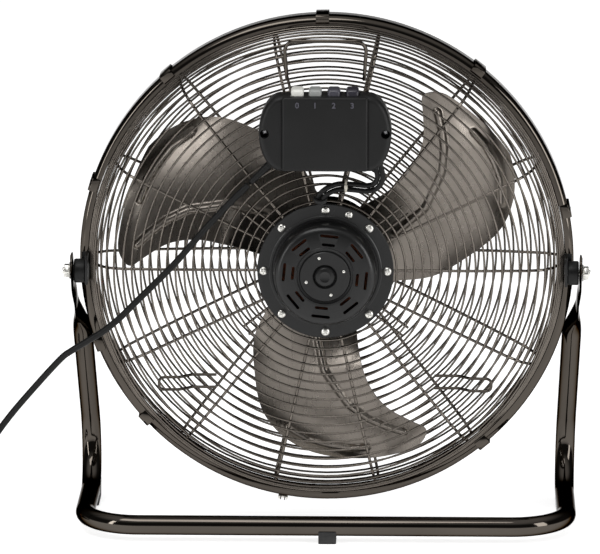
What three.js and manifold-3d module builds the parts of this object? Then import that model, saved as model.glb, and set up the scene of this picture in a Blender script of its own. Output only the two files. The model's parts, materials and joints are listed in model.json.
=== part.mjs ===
// High-velocity floor fan on a bent-tube stand, millimetres, +Z up.
// The fan blows along +Y. "back" is the distance behind the fan's reference plane, along -Y.
import * as THREE from 'three';
import { mergeVertices } from 'three/addons/utils/BufferGeometryUtils.js';
import Module from 'manifold-3d';

const wasm = await Module();
wasm.setup();

// Driving dimensions.
const axisHeight = 277;        // fan axis above the floor
const hoopRadius = 255.5;      // outside of the guard hoop
const hoopFront = -7;
const hoopRear = 25;
const hoopWall = 2;
const hoopFlange = 1.2;
const hoopLip = 247;           // inner edge of the hoop's two flanges
const gap = 0.3;               // clearance between touching pieces

const tubeRadius = 10.25;      // stand tube, 20.5 mm outside
const tubeSides = 12;
const railHeight = 17;         // centre of the floor rails
const railX = 249.5;
const crossbarBack = 116;
const cornerRadius = 58;
const heelRadius = 50;
const legLean = THREE.MathUtils.degToRad(32.03);
const legTopX = 254.6;         // tube centre where the pressed end begins
const pivotBack = 39;
const pivotBelowAxis = 9.2;
const pressedX = 262.4;        // middle of the pressed flat end
const pressedWall = 3.2;
const pressedWidth = 33;
const pressedTop = 20;         // flat end above the pivot
const boltRadius = 3.9;
const nutRadius = 7.5;         // across its corners
const spacerRadius = 12.5;

const rearFootReach = 126.6;   // rear face of the rear foot, behind the hoop
const heelReach = 88.25;       // front of the heels, ahead of the hoop
const fanY = (rearFootReach - heelReach) / 2;   // puts the origin mid-way along the base

const spokeCount = 14;
const wireHalf = 1.2;
const spokeHalf = 1.6;

const plateRadius = 70;
const plateBack = 79.2;        // rear face of the motor plate
const plateScrewCircle = 63.5;
const plateScrews = 8;
const bladeCount = 3;
const bladeRadius = 216;
const bladeWall = 1.6;
const shaftRadius = 4;
const boreRadius = 4.3;
const shaftFront = -14;
const shaftBack = 106.4;
const bearingRadius = 11;
const coreFront = 38;          // stator and rotor stack
const coreBack = 66;

const boxBottom = 109.5;       // switch box, above the fan axis
const boxTop = 187.5;
const boxFlat = 44;            // half length of the straight part
const boxEnd = 23.5;           // length of each rounded end
const boxFront = 80.5;
const boxSeam = 83.5;
const boxBack = 112;
const panelBack = 114.6;
const boxWall = 2.4;
const keyCentres = [-28.2, -10.1, 8.9, 27.7];
const keyWidth = 13;
const keyFront = 88;
const keyBack = 107;
const keyGap = 0.5;            // clearance round each key in the cover

const cordRadius = 3.5;
const coilMiddle = 40;         // middle radius of the coiled turns
const coilX = -405;
const coilY = -4;

const pivotY = fanY - pivotBack;
const pivotZ = axisHeight - pivotBelowAxis;

// Materials.
const finish = (color, roughness, metalness) =>
  new THREE.MeshStandardMaterial({ color, roughness, metalness });
const gunmetal = () => finish(0x4a4541, 0.15, 1.0);
const wireMetal = () => finish(0x55504a, 0.25, 1.0);
const bladeMetal = () => finish(0x8a8076, 0.3, 1.0);
const zinc = () => finish(0xc9c8c2, 0.35, 1.0);
const steel = () => finish(0x8d8f92, 0.4, 1.0);
const copper = () => finish(0x8a5a3a, 0.5, 0.8);
const blackPaint = () => finish(0x1c1c1c, 0.4, 0.1);
const blackPlastic = () => finish(0x202124, 0.45, 0.0);
const rubber = () => finish(0x1b1b1b, 0.85, 0.0);
const plastic = (color) => finish(color, 0.4, 0.0);

// Helpers.
function turned(profile, segments) {
  const points = profile.map(([r, back]) => new THREE.Vector2(r, -back));
  return facingOut(new THREE.LatheGeometry(points, segments));
}

function merged(geometry) {
  const bare = geometry.clone();
  bare.deleteAttribute('normal');
  bare.deleteAttribute('uv');
  return mergeVertices(bare, 1e-3);
}

function facingOut(geometry) {
  const closed = merged(geometry);
  const index = closed.index.array;
  const position = closed.attributes.position;
  const corner = [new THREE.Vector3(), new THREE.Vector3(), new THREE.Vector3()];
  let volume = 0;
  for (let i = 0; i < index.length; i += 3) {
    corner.forEach((point, k) => point.fromBufferAttribute(position, index[i + k]));
    volume += corner[0].dot(corner[1].clone().cross(corner[2]));
  }
  if (volume < 0) {
    index.reverse();
  }
  return closed;
}

function toSolid(geometry) {
  const closed = facingOut(geometry);
  return new wasm.Manifold(new wasm.Mesh({
    numProp: 3,
    vertProperties: new Float32Array(closed.attributes.position.array),
    triVerts: new Uint32Array(closed.index.array),
  }));
}

function toGeometry(solid) {
  const mesh = solid.getMesh();
  const geometry = new THREE.BufferGeometry();
  geometry.setAttribute('position', new THREE.BufferAttribute(mesh.vertProperties, 3));
  geometry.setIndex(new THREE.BufferAttribute(mesh.triVerts, 1));
  return geometry;
}

const cut = (body, ...tools) =>
  toGeometry(tools.reduce((solid, tool) => solid.subtract(toSolid(tool)), toSolid(body)));
const join = (body, ...others) =>
  toGeometry(others.reduce((solid, other) => solid.add(toSolid(other)), toSolid(body)));

function block(x0, x1, back0, back1, z0, z1) {
  const geometry = new THREE.BoxGeometry(x1 - x0, back1 - back0, z1 - z0);
  geometry.translate((x0 + x1) / 2, -(back0 + back1) / 2, (z0 + z1) / 2);
  return geometry;
}

// A face-on outline in X and Z, with its thickness along the fan's axis.
function facePlate(shape, backFront, backRear, curveSegments = 8) {
  const depth = backRear - backFront;
  const geometry = new THREE.ExtrudeGeometry(shape, { depth, bevelEnabled: false, curveSegments });
  geometry.rotateX(Math.PI / 2);
  geometry.translate(0, -backFront, 0);
  return geometry;
}

// A side-on outline in Y and Z, with its thickness along X.
function sidePlate(points, x0, x1) {
  const shape = new THREE.Shape(points.map(([y, z]) => new THREE.Vector2(y, z)));
  const geometry = new THREE.ExtrudeGeometry(shape, { depth: x1 - x0, bevelEnabled: false });
  const basis = new THREE.Matrix4().makeBasis(
    new THREE.Vector3(0, 1, 0),
    new THREE.Vector3(0, 0, 1),
    new THREE.Vector3(1, 0, 0),
  );
  geometry.applyMatrix4(basis);
  geometry.translate(x0, 0, 0);
  return geometry;
}

function rodAlongX(radius, x0, x1, sides) {
  const geometry = new THREE.CylinderGeometry(radius, radius, x1 - x0, sides);
  geometry.rotateZ(Math.PI / 2);
  geometry.translate((x0 + x1) / 2, 0, 0);
  return geometry;
}

// A curve that has one section at each of its stops, however far apart they lie.
class StopCurve extends THREE.Curve {
  constructor(stops) {
    super();
    this.stops = stops;
  }

  getPoint(t) {
    const place = t * (this.stops.length - 1);
    const first = Math.min(Math.floor(place), this.stops.length - 2);
    return this.stops[first].clone().lerp(this.stops[first + 1], place - first);
  }

  getPointAt(t) {
    return this.getPoint(t);
  }

  getTangentAt(t) {
    const last = this.stops.length - 1;
    const stop = Math.round(t * last);
    const before = this.stops[Math.max(stop - 1, 0)];
    const here = this.stops[stop];
    const after = this.stops[Math.min(stop + 1, last)];
    const arriving = here.clone().sub(before).normalize();
    const leaving = after.clone().sub(here).normalize();
    return arriving.add(leaving).normalize();
  }
}

function rod(stops, radius, sides) {
  const corners = [];
  for (let k = 0; k < sides; k += 1) {
    const angle = (2 * Math.PI * (k + 0.5)) / sides;
    corners.push(new THREE.Vector2(radius * Math.cos(angle), radius * Math.sin(angle)));
  }
  return new THREE.ExtrudeGeometry(new THREE.Shape(corners), {
    extrudePath: new StopCurve(stops),
    steps: stops.length - 1,
  });
}

// Stops round one bend, from the corner that the two straight runs would make.
function bend(before, corner, after, radius, steps) {
  const arriving = before.clone().sub(corner).normalize();
  const leaving = after.clone().sub(corner).normalize();
  const half = arriving.angleTo(leaving) / 2;
  const inward = arriving.clone().add(leaving).normalize();
  const centre = corner.clone().addScaledVector(inward, radius / Math.sin(half));
  const start = corner.clone().addScaledVector(arriving, radius / Math.tan(half)).sub(centre);
  const end = corner.clone().addScaledVector(leaving, radius / Math.tan(half)).sub(centre);
  const turn = start.angleTo(end);
  const stops = [];
  for (let k = 0; k <= steps; k += 1) {
    const share = k / steps;
    const a = Math.sin((1 - share) * turn) / Math.sin(turn);
    const b = Math.sin(share * turn) / Math.sin(turn);
    stops.push(start.clone().multiplyScalar(a).addScaledVector(end, b).add(centre));
  }
  return stops;
}

// Stops along straight runs whose inner corners are bent to one radius.
function bentWire(corners, radius, steps) {
  const inner = corners.slice(1, -1);
  const bends = inner.flatMap((corner, k) => bend(corners[k], corner, corners[k + 2], radius, steps));
  return [corners[0], ...bends, corners[corners.length - 1]];
}

// A closed sheet from a grid of points on its two faces; solid(row, column) says which cells exist.
function gridSheet(lowFace, highFace, solid, wraps) {
  const rows = lowFace.length;
  const columns = lowFace[0].length;
  const cellColumns = wraps ? columns : columns - 1;
  const positions = [...lowFace.flat(), ...highFace.flat()].flatMap((point) => point.toArray());
  const low = (row, column) => row * columns + (column % columns);
  const high = (row, column) => rows * columns + low(row, column);
  const filled = (row, column) => {
    if (row < 0 || row >= rows - 1) return false;
    if (!wraps && (column < 0 || column >= cellColumns)) return false;
    return solid(row, (column + cellColumns) % cellColumns);
  };
  const index = [];
  const quad = (a, b, c, d) => index.push(a, b, c, a, c, d);
  for (let i = 0; i < rows - 1; i += 1) {
    for (let j = 0; j < cellColumns; j += 1) {
      if (!filled(i, j)) continue;
      quad(low(i, j), low(i, j + 1), low(i + 1, j + 1), low(i + 1, j));
      quad(high(i, j), high(i + 1, j), high(i + 1, j + 1), high(i, j + 1));
      if (!filled(i - 1, j)) quad(low(i, j), high(i, j), high(i, j + 1), low(i, j + 1));
      if (!filled(i + 1, j)) {
        quad(low(i + 1, j), low(i + 1, j + 1), high(i + 1, j + 1), high(i + 1, j));
      }
      if (!filled(i, j - 1)) quad(low(i, j), low(i + 1, j), high(i + 1, j), high(i, j));
      if (!filled(i, j + 1)) {
        quad(low(i, j + 1), high(i, j + 1), high(i + 1, j + 1), low(i + 1, j + 1));
      }
    }
  }
  const geometry = new THREE.BufferGeometry();
  geometry.setAttribute('position', new THREE.Float32BufferAttribute(positions, 3));
  geometry.setIndex(index);
  return facingOut(geometry);
}

// A round guard of ring wires and spokes as one welded net; rings are [radius, back].
function wireGuard(rings) {
  const rowLines = [];
  rings.forEach(([radius, back], k) => {
    const before = rings[Math.max(k - 1, 0)];
    const after = rings[Math.min(k + 1, rings.length - 1)];
    const along = new THREE.Vector2(after[0] - before[0], after[1] - before[1]).normalize();
    rowLines.push({ radius, back, along, side: -wireHalf });
    rowLines.push({ radius, back, along, side: wireHalf });
  });
  const face = (offset) => rowLines.map(({ radius, back, along, side }) => {
    const r = radius + along.x * side - along.y * offset;
    const b = back + along.y * side + along.x * offset;
    const line = [];
    for (let k = 0; k < spokeCount; k += 1) {
      const middle = (2 * Math.PI * k) / spokeCount;
      const half = spokeHalf / r;
      for (const angle of [middle - half, middle + half, middle + Math.PI / spokeCount]) {
        line.push(new THREE.Vector3(r * Math.cos(angle), -b, r * Math.sin(angle)));
      }
    }
    return line;
  });
  const isWire = (row, column) => row % 2 === 0 || column % 3 === 0;
  return gridSheet(face(-wireHalf), face(wireHalf), isWire, true);
}

// The assembly.
const fan = new THREE.Group();
const stand = new THREE.Group();
const head = new THREE.Group();
head.position.set(0, fanY, axisHeight);
fan.add(stand, head);

function piece(group, name, geometry, material) {
  const mesh = new THREE.Mesh(geometry, material);
  mesh.name = name;
  group.add(mesh);
  return mesh;
}

// Stand: one tube bent to a floor U, its legs rising from the heels to pressed, drilled ends.
function pressedCentre(along) {
  const outward = 0.72 * THREE.MathUtils.smoothstep(along, -84, -42);
  const upright = 0.28 * THREE.MathUtils.smoothstep(along, -42, -14);
  return THREE.MathUtils.lerp(legTopX, pressedX, outward + upright);
}

function legPoint(along) {
  const x = pressedCentre(along);
  return new THREE.Vector3(x, pivotY - along * Math.sin(legLean), pivotZ + along * Math.cos(legLean));
}

function halfStandStops() {
  const middle = new THREE.Vector3(0, fanY - crossbarBack, railHeight);
  const corner = new THREE.Vector3(railX, fanY - crossbarBack, railHeight);
  const heelY = pivotY + (pivotZ - railHeight) * Math.tan(legLean);
  const heel = new THREE.Vector3(railX, heelY, railHeight);
  const legStops = [-84, -74, -64, -54, -44, -30, -14, 0, 12, 17, pressedTop].map(legPoint);
  return [
    ...bend(middle, corner, heel, cornerRadius, 7),
    ...bend(corner, heel, legStops[0], heelRadius, 9),
    ...legStops,
  ];
}

const mirrored = (point) => new THREE.Vector3(-point.x, point.y, point.z);

function standStops() {
  const right = halfStandStops();
  const left = right.map(mirrored).reverse();
  return [...left, ...right];
}

function pressEnds(geometry) {
  const position = geometry.attributes.position;
  const point = new THREE.Vector3();
  for (let i = 0; i < position.count; i += 1) {
    point.fromBufferAttribute(position, i);
    const up = point.z - pivotZ;
    const ahead = point.y - pivotY;
    const along = up * Math.cos(legLean) - ahead * Math.sin(legLean);
    if (along < -84) continue;
    const across = ahead * Math.cos(legLean) + up * Math.sin(legLean);
    const press = THREE.MathUtils.smoothstep(along, -84, -44);
    const thin = THREE.MathUtils.lerp(1, pressedWall / (2 * tubeRadius), press);
    const rounding = Math.sqrt(1 - 0.8 * THREE.MathUtils.smoothstep(along, 4, pressedTop + 2));
    const wide = THREE.MathUtils.lerp(1, pressedWidth / (2 * tubeRadius), press) * rounding;
    const side = Math.sign(point.x);
    const middle = side * pressedCentre(along);
    const x = middle + (point.x - middle) * thin;
    const y = pivotY - along * Math.sin(legLean) + across * wide * Math.cos(legLean);
    const z = pivotZ + along * Math.cos(legLean) + across * wide * Math.sin(legLean);
    position.setXYZ(i, x, y, z);
  }
  return geometry;
}

function pivotHole(side) {
  const hole = rodAlongX(boltRadius + gap, pressedX - 10, pressedX + 10, 16);
  hole.translate(0, pivotY, pivotZ);
  return side > 0 ? hole : hole.clone().scale(-1, 1, 1);
}

function buildStand() {
  const tube = pressEnds(merged(rod(standStops(), tubeRadius, tubeSides)));
  piece(stand, 'stand_tube', cut(tube, pivotHole(1), pivotHole(-1)), gunmetal());

  const saddleGap = 0.45;
  const clearTube = rod(standStops(), tubeRadius + saddleGap, tubeSides);
  const footX = 3;
  const footHalf = 9.2;
  const footFront = crossbarBack - 9;
  const rearFoot = block(footX - footHalf, footX + footHalf, footFront, rearFootReach, 0, 12.5);
  rearFoot.translate(0, fanY, 0);
  piece(stand, 'rear_foot', cut(rearFoot, clearTube), rubber());

  const shoe = [[28, 0], [68, 0], [76, 10], [77, 21], [28, 21]];
  for (const [name, x0, x1] of [['left', -258.4, -240.5], ['right', 240.5, 258.4]]) {
    const foot = sidePlate(shoe, x0, x1);
    foot.translate(0, fanY, 0);
    piece(stand, `front_foot_${name}`, cut(foot, clearTube), rubber());
  }
}

// Guards, hoop and clips.
function buildGuards() {
  const rearRings = [
    [67.6, 75.6], [100, 77.6], [136, 77.6], [172, 77], [204, 75.4], [229, 65], [240.4, 40],
    [245, 22.5],
  ];
  piece(head, 'rear_guard', wireGuard(rearRings), wireMetal());

  const frontRings = [
    [50, -38], [86, -37.2], [122, -35.4], [158, -32.6], [194, -28.4], [228, -21.6], [245, -4.5],
  ];
  piece(head, 'front_guard', wireGuard(frontRings), wireMetal());

  const inside = hoopRadius - hoopWall;
  const section = [
    [hoopLip, hoopFront], [hoopRadius - 1.2, hoopFront], [hoopRadius, hoopFront + 1.5],
    [hoopRadius, hoopRear - 1.5], [hoopRadius - 1.2, hoopRear], [hoopLip, hoopRear],
    [hoopLip, hoopRear - hoopFlange], [inside, hoopRear - hoopFlange],
    [inside, hoopFront + hoopFlange], [hoopLip, hoopFront + hoopFlange], [hoopLip, hoopFront],
  ];
  piece(head, 'guard_band', turned(section, 48), gunmetal());

  const clipAngles = [91, 130.5, 162, 201, 222, 310, 52, 12];
  const clipHalf = 6.8;
  const outer = hoopRadius + 2.3;
  const under = hoopRadius + 0.6;
  const lip = 247.6;
  const clip = new THREE.Shape([
    [-hoopRear - 2, lip], [-hoopRear - 0.6, lip], [-hoopRear - 0.6, under],
    [-hoopFront + 0.6, under], [-hoopFront + 0.6, lip], [-hoopFront + 2, lip],
    [-hoopFront + 2, outer], [-hoopRear - 2, outer],
  ].map(([y, z]) => new THREE.Vector2(y, z)));
  clipAngles.forEach((degrees, k) => {
    const points = clip.getPoints().map((point) => [point.x, point.y]);
    const mesh = piece(head, `guard_clip_${k + 1}`, sidePlate(points, -clipHalf, clipHalf), gunmetal());
    mesh.rotation.y = THREE.MathUtils.degToRad(90 - degrees);
  });

  const screw = new THREE.CylinderGeometry(3.4, 3.4, 9, 8);
  screw.rotateZ(Math.PI / 2);
  screw.translate(0, -(hoopFront + hoopRear) / 2, hoopRadius + 4);
  const bandScrew = piece(head, 'band_screw', screw, zinc());
  bandScrew.rotation.y = THREE.MathUtils.degToRad(90 - 260);
}

// Pivots: a bracket at the hoop's rear edge, a spacer, and a stud with its nut.
function buildPivots() {
  const drop = -pivotBelowAxis;
  const bracketX = 246;
  const bracketWall = 2.6;
  const spacerX = bracketX + bracketWall + gap;
  const spacerEnd = pressedX - pressedWall / 2 - gap;
  const nutX = pressedX + pressedWall / 2 + gap;
  for (const [name, side] of [['left', -1], ['right', 1]]) {
    const hole = rodAlongX(boltRadius + gap, bracketX - 5, bracketX + 8, 16);
    hole.translate(0, -pivotBack, drop);
    const low = drop - spacerRadius;
    const high = drop + 17.3;
    const flangeBack = hoopRear + gap;
    const web = block(bracketX, bracketX + bracketWall, flangeBack, pivotBack + spacerRadius, low, high);
    const flange = block(bracketX, 253.6, flangeBack, flangeBack + 1, low, high);
    const bracket = cut(join(web, flange), hole);
    const bore = rodAlongX(boltRadius + gap, spacerX - 2, spacerEnd + 2, 16);
    const spacer = cut(rodAlongX(spacerRadius, spacerX, spacerEnd, 24), bore);
    const nut = rodAlongX(nutRadius, nutX, 270.1, 6);
    const stud = join(rodAlongX(boltRadius, bracketX + 0.2, 272.5, 12), nut);
    spacer.translate(0, -pivotBack, drop);
    stud.translate(0, -pivotBack, drop);
    const flip = (geometry) => facingOut(side > 0 ? geometry : geometry.scale(-1, 1, 1));
    piece(head, `pivot_bracket_${name}`, flip(bracket), blackPaint());
    piece(head, `pivot_spacer_${name}`, flip(spacer), blackPlastic());
    piece(head, `pivot_bolt_${name}`, flip(stud), zinc());
  }
}

// A plain ring, its faces square to the fan's axis.
function ring(inner, outer, front, back, segments) {
  const section = [[inner, front], [outer, front], [outer, back], [inner, back], [inner, front]];
  return turned(section, segments);
}

// Motor: two bells bolted through a round plate that also clamps the rear guard.
function buildMotor() {
  const plate = ring(49, plateRadius, 77.5, plateBack, 36);
  const screwPlaces = [];
  for (let k = 0; k < plateScrews; k += 1) {
    const angle = (2 * Math.PI * k) / plateScrews;
    screwPlaces.push([plateScrewCircle * Math.cos(angle), plateScrewCircle * Math.sin(angle)]);
  }
  const holes = screwPlaces.map(([x, z]) => {
    const hole = new THREE.CylinderGeometry(2.2, 2.2, 30, 8);
    hole.translate(x, -70, z);
    return hole;
  });
  piece(head, 'motor_plate', cut(plate, ...holes), blackPaint());

  const screwProfile = [
    [0, 82.6], [3, 82.2], [4.5, 80.6], [4.5, 79.5], [1.9, 79.5], [1.9, 72.5], [0, 72.5],
  ];
  screwPlaces.forEach(([x, z], k) => {
    const screw = piece(head, `plate_screw_${k + 1}`, turned(screwProfile, 8), zinc());
    screw.position.set(x, 0, z);
  });

  const rearBell = [
    [0, 110.5], [10.4, 110.5], [10.4, 109], [30, 108.2], [44, 104], [51, 96], [54, 85], [54, 79.5],
    [51.4, 79.5], [51.4, 84], [48.6, 94.6], [42.4, 101.6], [29, 105.4], [13.6, 106], [13.6, 97],
    [11.3, 97], [11.3, 106.8], [0, 106.8],
  ];
  piece(head, 'motor_rear_bell', turned(rearBell, 20), blackPaint());

  const frontBell = [
    [5, 22], [44, 22], [52, 28], [52, 71.6], [69, 71.6], [69, 73.9], [52, 73.9], [52, 77.2],
    [49.6, 77.2], [49.6, 29], [43, 24.4], [13.6, 24.4], [13.6, 34], [11.3, 34], [11.3, 24.2],
    [5, 24.2], [5, 22],
  ];
  const flangeHoles = holes.map((hole) => hole.clone());
  piece(head, 'motor_front_bell', cut(turned(frontBell, 20), ...flangeHoles), blackPaint());

  piece(head, 'stator', ring(26.2, 48.2, coreFront, coreBack, 24), copper());
  piece(head, 'rotor_core', ring(boreRadius, 25.4, coreFront, coreBack, 20), steel());
  piece(head, 'bearing_rear', ring(boreRadius, bearingRadius, 98, 106, 16), steel());
  piece(head, 'bearing_front', ring(boreRadius, bearingRadius, 24.8, 33, 16), steel());
  const shaft = [[0, shaftFront], [shaftRadius, shaftFront], [shaftRadius, shaftBack], [0, shaftBack]];
  piece(head, 'motor_shaft', turned(shaft, 16), steel());
}

// Fan wheel: a pressed hub disc and three swept blades that overlap it.
function bladeGeometry() {
  const degrees = THREE.MathUtils.degToRad;
  const edge = (points) => {
    const stops = points.map(([r, angle]) => new THREE.Vector2(r, degrees(angle)));
    return new THREE.SplineCurve(stops);
  };
  const leading = edge([
    [44, 62], [68, 56], [94, 50.5], [128, 49], [160, 52], [185, 57.5], [203, 61], [bladeRadius, 59],
  ]);
  const trailing = edge([
    [44, -40], [68, -22], [114, -11], [147, -1], [181, 8], [200, 16], [211, 23.5], [bladeRadius, 29],
  ]);
  const rows = 9;
  const columns = 6;
  const faces = [[], []];
  for (let i = 0; i <= rows; i += 1) {
    const front = leading.getPoint(i / rows);
    const rear = trailing.getPoint(i / rows);
    const lift = THREE.MathUtils.smoothstep(front.x, 46, 120);
    const lines = [[], []];
    for (let j = 0; j <= columns; j += 1) {
      const share = j / columns;
      const r = THREE.MathUtils.lerp(front.x, rear.x, share);
      const angle = THREE.MathUtils.lerp(front.y, rear.y, share);
      const camber = 7 * Math.sin(Math.PI * share) * lift;
      const back = 13 + lift * THREE.MathUtils.lerp(32, -27, share) + camber;
      for (const [k, offset] of [[0, -bladeWall / 2], [1, bladeWall / 2]]) {
        lines[k].push(new THREE.Vector3(r * Math.cos(angle), -back - offset, r * Math.sin(angle)));
      }
    }
    faces[0].push(lines[0]);
    faces[1].push(lines[1]);
  }
  return gridSheet(faces[0], faces[1], () => true, false);
}

function buildFanWheel() {
  const hub = [
    [boreRadius, -6], [13, -6], [13, 7.4], [54, 7.4], [54, 10], [14, 10], [14, 18], [boreRadius, 18],
    [boreRadius, -6],
  ];
  piece(head, 'blade_hub', turned(hub, 24), bladeMetal());
  const blade = bladeGeometry();
  for (let k = 0; k < bladeCount; k += 1) {
    const mesh = piece(head, `blade_${k + 1}`, blade.clone(), bladeMetal());
    mesh.rotation.y = (-2 * Math.PI * k) / bladeCount;
  }
  const nut = [
    [0, -16.6], [7, -16], [9, -13], [9, -6.3], [boreRadius, -6.3], [boreRadius, -14.3], [0, -14.3],
  ];
  piece(head, 'hub_nut', turned(nut, 12), blackPlastic());
}

// Switch box on the rear guard, with four latching keys.
function boxOutline(inset) {
  const middle = (boxBottom + boxTop) / 2;
  const across = boxEnd - inset;
  const up = (boxTop - boxBottom) / 2 - inset;
  const shape = new THREE.Shape();
  shape.moveTo(-boxFlat, boxBottom + inset);
  shape.lineTo(boxFlat, boxBottom + inset);
  shape.absellipse(boxFlat, middle, across, up, -Math.PI / 2, Math.PI / 2, false, 0);
  shape.lineTo(-boxFlat, boxTop - inset);
  shape.absellipse(-boxFlat, middle, across, up, Math.PI / 2, (3 * Math.PI) / 2, false, 0);
  return shape;
}

function buildSwitchBox() {
  piece(head, 'switch_box_base', facePlate(boxOutline(0.5), boxFront, boxSeam - gap), blackPlastic());
  const shell = facePlate(boxOutline(0), boxSeam, boxBack);
  const panel = block(-boxFlat + 0.5, boxFlat - 0.5, boxBack - 4, panelBack, boxBottom + 1, boxTop - 1);
  const inside = facePlate(boxOutline(boxWall), boxSeam - 2, boxBack - boxWall);
  const slotHalf = keyWidth / 2 + keyGap;
  const slots = keyCentres.map((x) =>
    block(x - slotHalf, x + slotHalf, keyFront - keyGap, keyBack + keyGap, boxTop - 8, boxTop + 2));
  piece(head, 'switch_box_cover', cut(join(shell, panel), inside, ...slots), blackPlastic());
  piece(head, 'switch_block', block(-38, 38, 84.2, 107, 131.5, 165.5), plastic(0xb9b4a6));
  const can = rodAlongX(8.5, -22, 22, 12);
  can.translate(0, -96, 121.5);
  piece(head, 'capacitor', facingOut(can), plastic(0xd8d6cf));

  const keyColours = [0xe6e6e2, 0xa9adb2, 0x46505e, 0x1f2734];
  const keySide = [
    [-keyBack, 171.5], [-keyFront, 171.5], [-keyFront, 190], [-keyFront - 3, 194],
    [-keyFront - 8, 194.6], [-keyBack + 2, 190.6], [-keyBack, 187.6],
  ];
  keyCentres.forEach((x, k) => {
    const key = sidePlate(keySide, x - keyWidth / 2, x + keyWidth / 2);
    piece(head, `key_${k}`, key, plastic(keyColours[k]));
  });
}

// Wire fittings on the rear guard, the leads and the badge.
const at = (x, back, up) => new THREE.Vector3(x, -back, up);

function buildFittings() {
  const handle = [
    at(-39.5, 81.2, 204), at(-41.5, 91, 240.8), at(41.5, 91, 240.8), at(39.5, 81.2, 204),
  ];
  piece(head, 'carry_handle', rod(bentWire(handle, 11, 4), 2, 8), gunmetal());

  const hook = [
    at(112, 81, -109), at(140, 81, -109), at(152, 94, -109), at(177, 95, -109),
    at(177, 95, -122), at(152, 94, -122), at(140, 81, -122), at(112, 81, -122),
  ];
  for (const [name, side] of [['left', -1], ['right', 1]]) {
    const corners = hook.map((point) => point.clone().multiply(new THREE.Vector3(side, 1, 1)));
    piece(head, `cord_hook_${name}`, rod(bentWire(corners, 4.5, 2), 1.5, 6), gunmetal());
  }

  const lead = new THREE.CatmullRomCurve3([
    at(57, 95, 112.6), at(60, 94, 105), at(61, 92, 98), at(57, 90, 91), at(47, 89, 88), at(31, 88, 89),
    at(15, 88, 91.5), at(3, 88, 88), at(-4, 86, 81), at(-5, 82, 78),
  ]);
  piece(head, 'motor_lead', rod(lead.getSpacedPoints(18), 2.4, 8), rubber());

  const badge = [[0, -44.6], [30, -43.8], [52, -41.4], [55, -39.6], [54, -39.6], [0, -39.6]];
  piece(head, 'front_badge', turned(badge, 28), gunmetal());

  const boot = new THREE.CylinderGeometry(6.2, 4.4, 30, 12);
  boot.rotateX(Math.PI / 2);
  boot.rotateY(Math.PI / 4);
  boot.translate(-67.3, -95, 103.9);
  piece(head, 'strain_relief', boot, rubber());
}

// Mains lead: out of the box, across the guard, over its shoulder and down to a coil on the floor.
function buildCord() {
  const route = [
    [-78.4, -76, 369.8], [-98, -73.4, 350], [-125, -69.6, 320], [-152, -66.8, 288], [-175, -65.6, 264],
    [-192, -64.8, 247], [-210, -63.6, 228.6], [-227, -61.8, 214], [-244, -58.8, 202.5],
    [-262, -55, 190.5], [-273, -52, 181.5], [-299, -46.5, 152], [-326, -42.5, 119.5], [-345, -43, 93],
    [-362, -46, 64], [-377, -50.5, 37], [-390, -54.5, 17], [-400, -56.2, 7], [-412, -56.6, 3.9],
  ].map(([x, y, z]) => new THREE.Vector3(x, y, z));
  const curve = new THREE.CatmullRomCurve3(route, false, 'centripetal');
  piece(stand, 'power_cord', rod(curve.getSpacedPoints(30), cordRadius, 8), rubber());

  const turns = 2 * cordRadius + 0.3;
  const coil = turned([
    [coilMiddle - turns, 0], [coilMiddle + turns, 0], [coilMiddle + turns, 2 * turns],
    [coilMiddle - turns, 2 * turns], [coilMiddle - turns, 0],
  ], 28);
  coil.rotateX(-Math.PI / 2);
  const ring = piece(stand, 'cord_coil', facingOut(coil), rubber());
  ring.position.set(coilX, coilY, 0);

  const body = [
    [0, 0], [4.2, 0], [5.2, 20], [9, 24], [17.5, 34], [18.5, 40], [18.5, 54], [17, 56], [0, 56],
  ];
  const shell = turned(body.map(([r, along]) => [r, -along]), 16);
  const pin = (x) => {
    const geometry = new THREE.CylinderGeometry(2.4, 2.4, 22, 8);
    geometry.translate(x, 64, 0);
    return geometry;
  };
  const plug = piece(stand, 'plug', join(shell, pin(-9.5), pin(9.5)), rubber());
  plug.position.set(-463, coilY - 8, 18.6);
}

buildStand();
buildGuards();
buildPivots();
buildMotor();
buildFanWheel();
buildSwitchBox();
buildFittings();
buildCord();

export default fan;
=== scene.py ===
import bpy
import json
import math
from mathutils import Matrix, Vector


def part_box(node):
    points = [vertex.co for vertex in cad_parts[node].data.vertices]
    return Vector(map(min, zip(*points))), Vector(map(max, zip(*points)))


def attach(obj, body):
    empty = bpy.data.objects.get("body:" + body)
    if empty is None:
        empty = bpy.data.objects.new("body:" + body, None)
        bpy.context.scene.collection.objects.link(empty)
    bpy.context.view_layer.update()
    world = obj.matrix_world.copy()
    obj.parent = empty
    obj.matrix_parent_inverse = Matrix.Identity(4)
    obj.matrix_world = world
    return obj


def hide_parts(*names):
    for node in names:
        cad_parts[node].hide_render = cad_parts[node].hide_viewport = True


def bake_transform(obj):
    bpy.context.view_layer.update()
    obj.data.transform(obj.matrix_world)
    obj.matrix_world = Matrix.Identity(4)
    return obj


# Floor fan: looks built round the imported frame. Sizes in each dictionary are millimetres and degrees.
# "back" is the distance behind the fan's reference plane, which cuts the hoop.
# "up" is the height above the fan's axis, and "along" a distance along a leg from its pivot.

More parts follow.
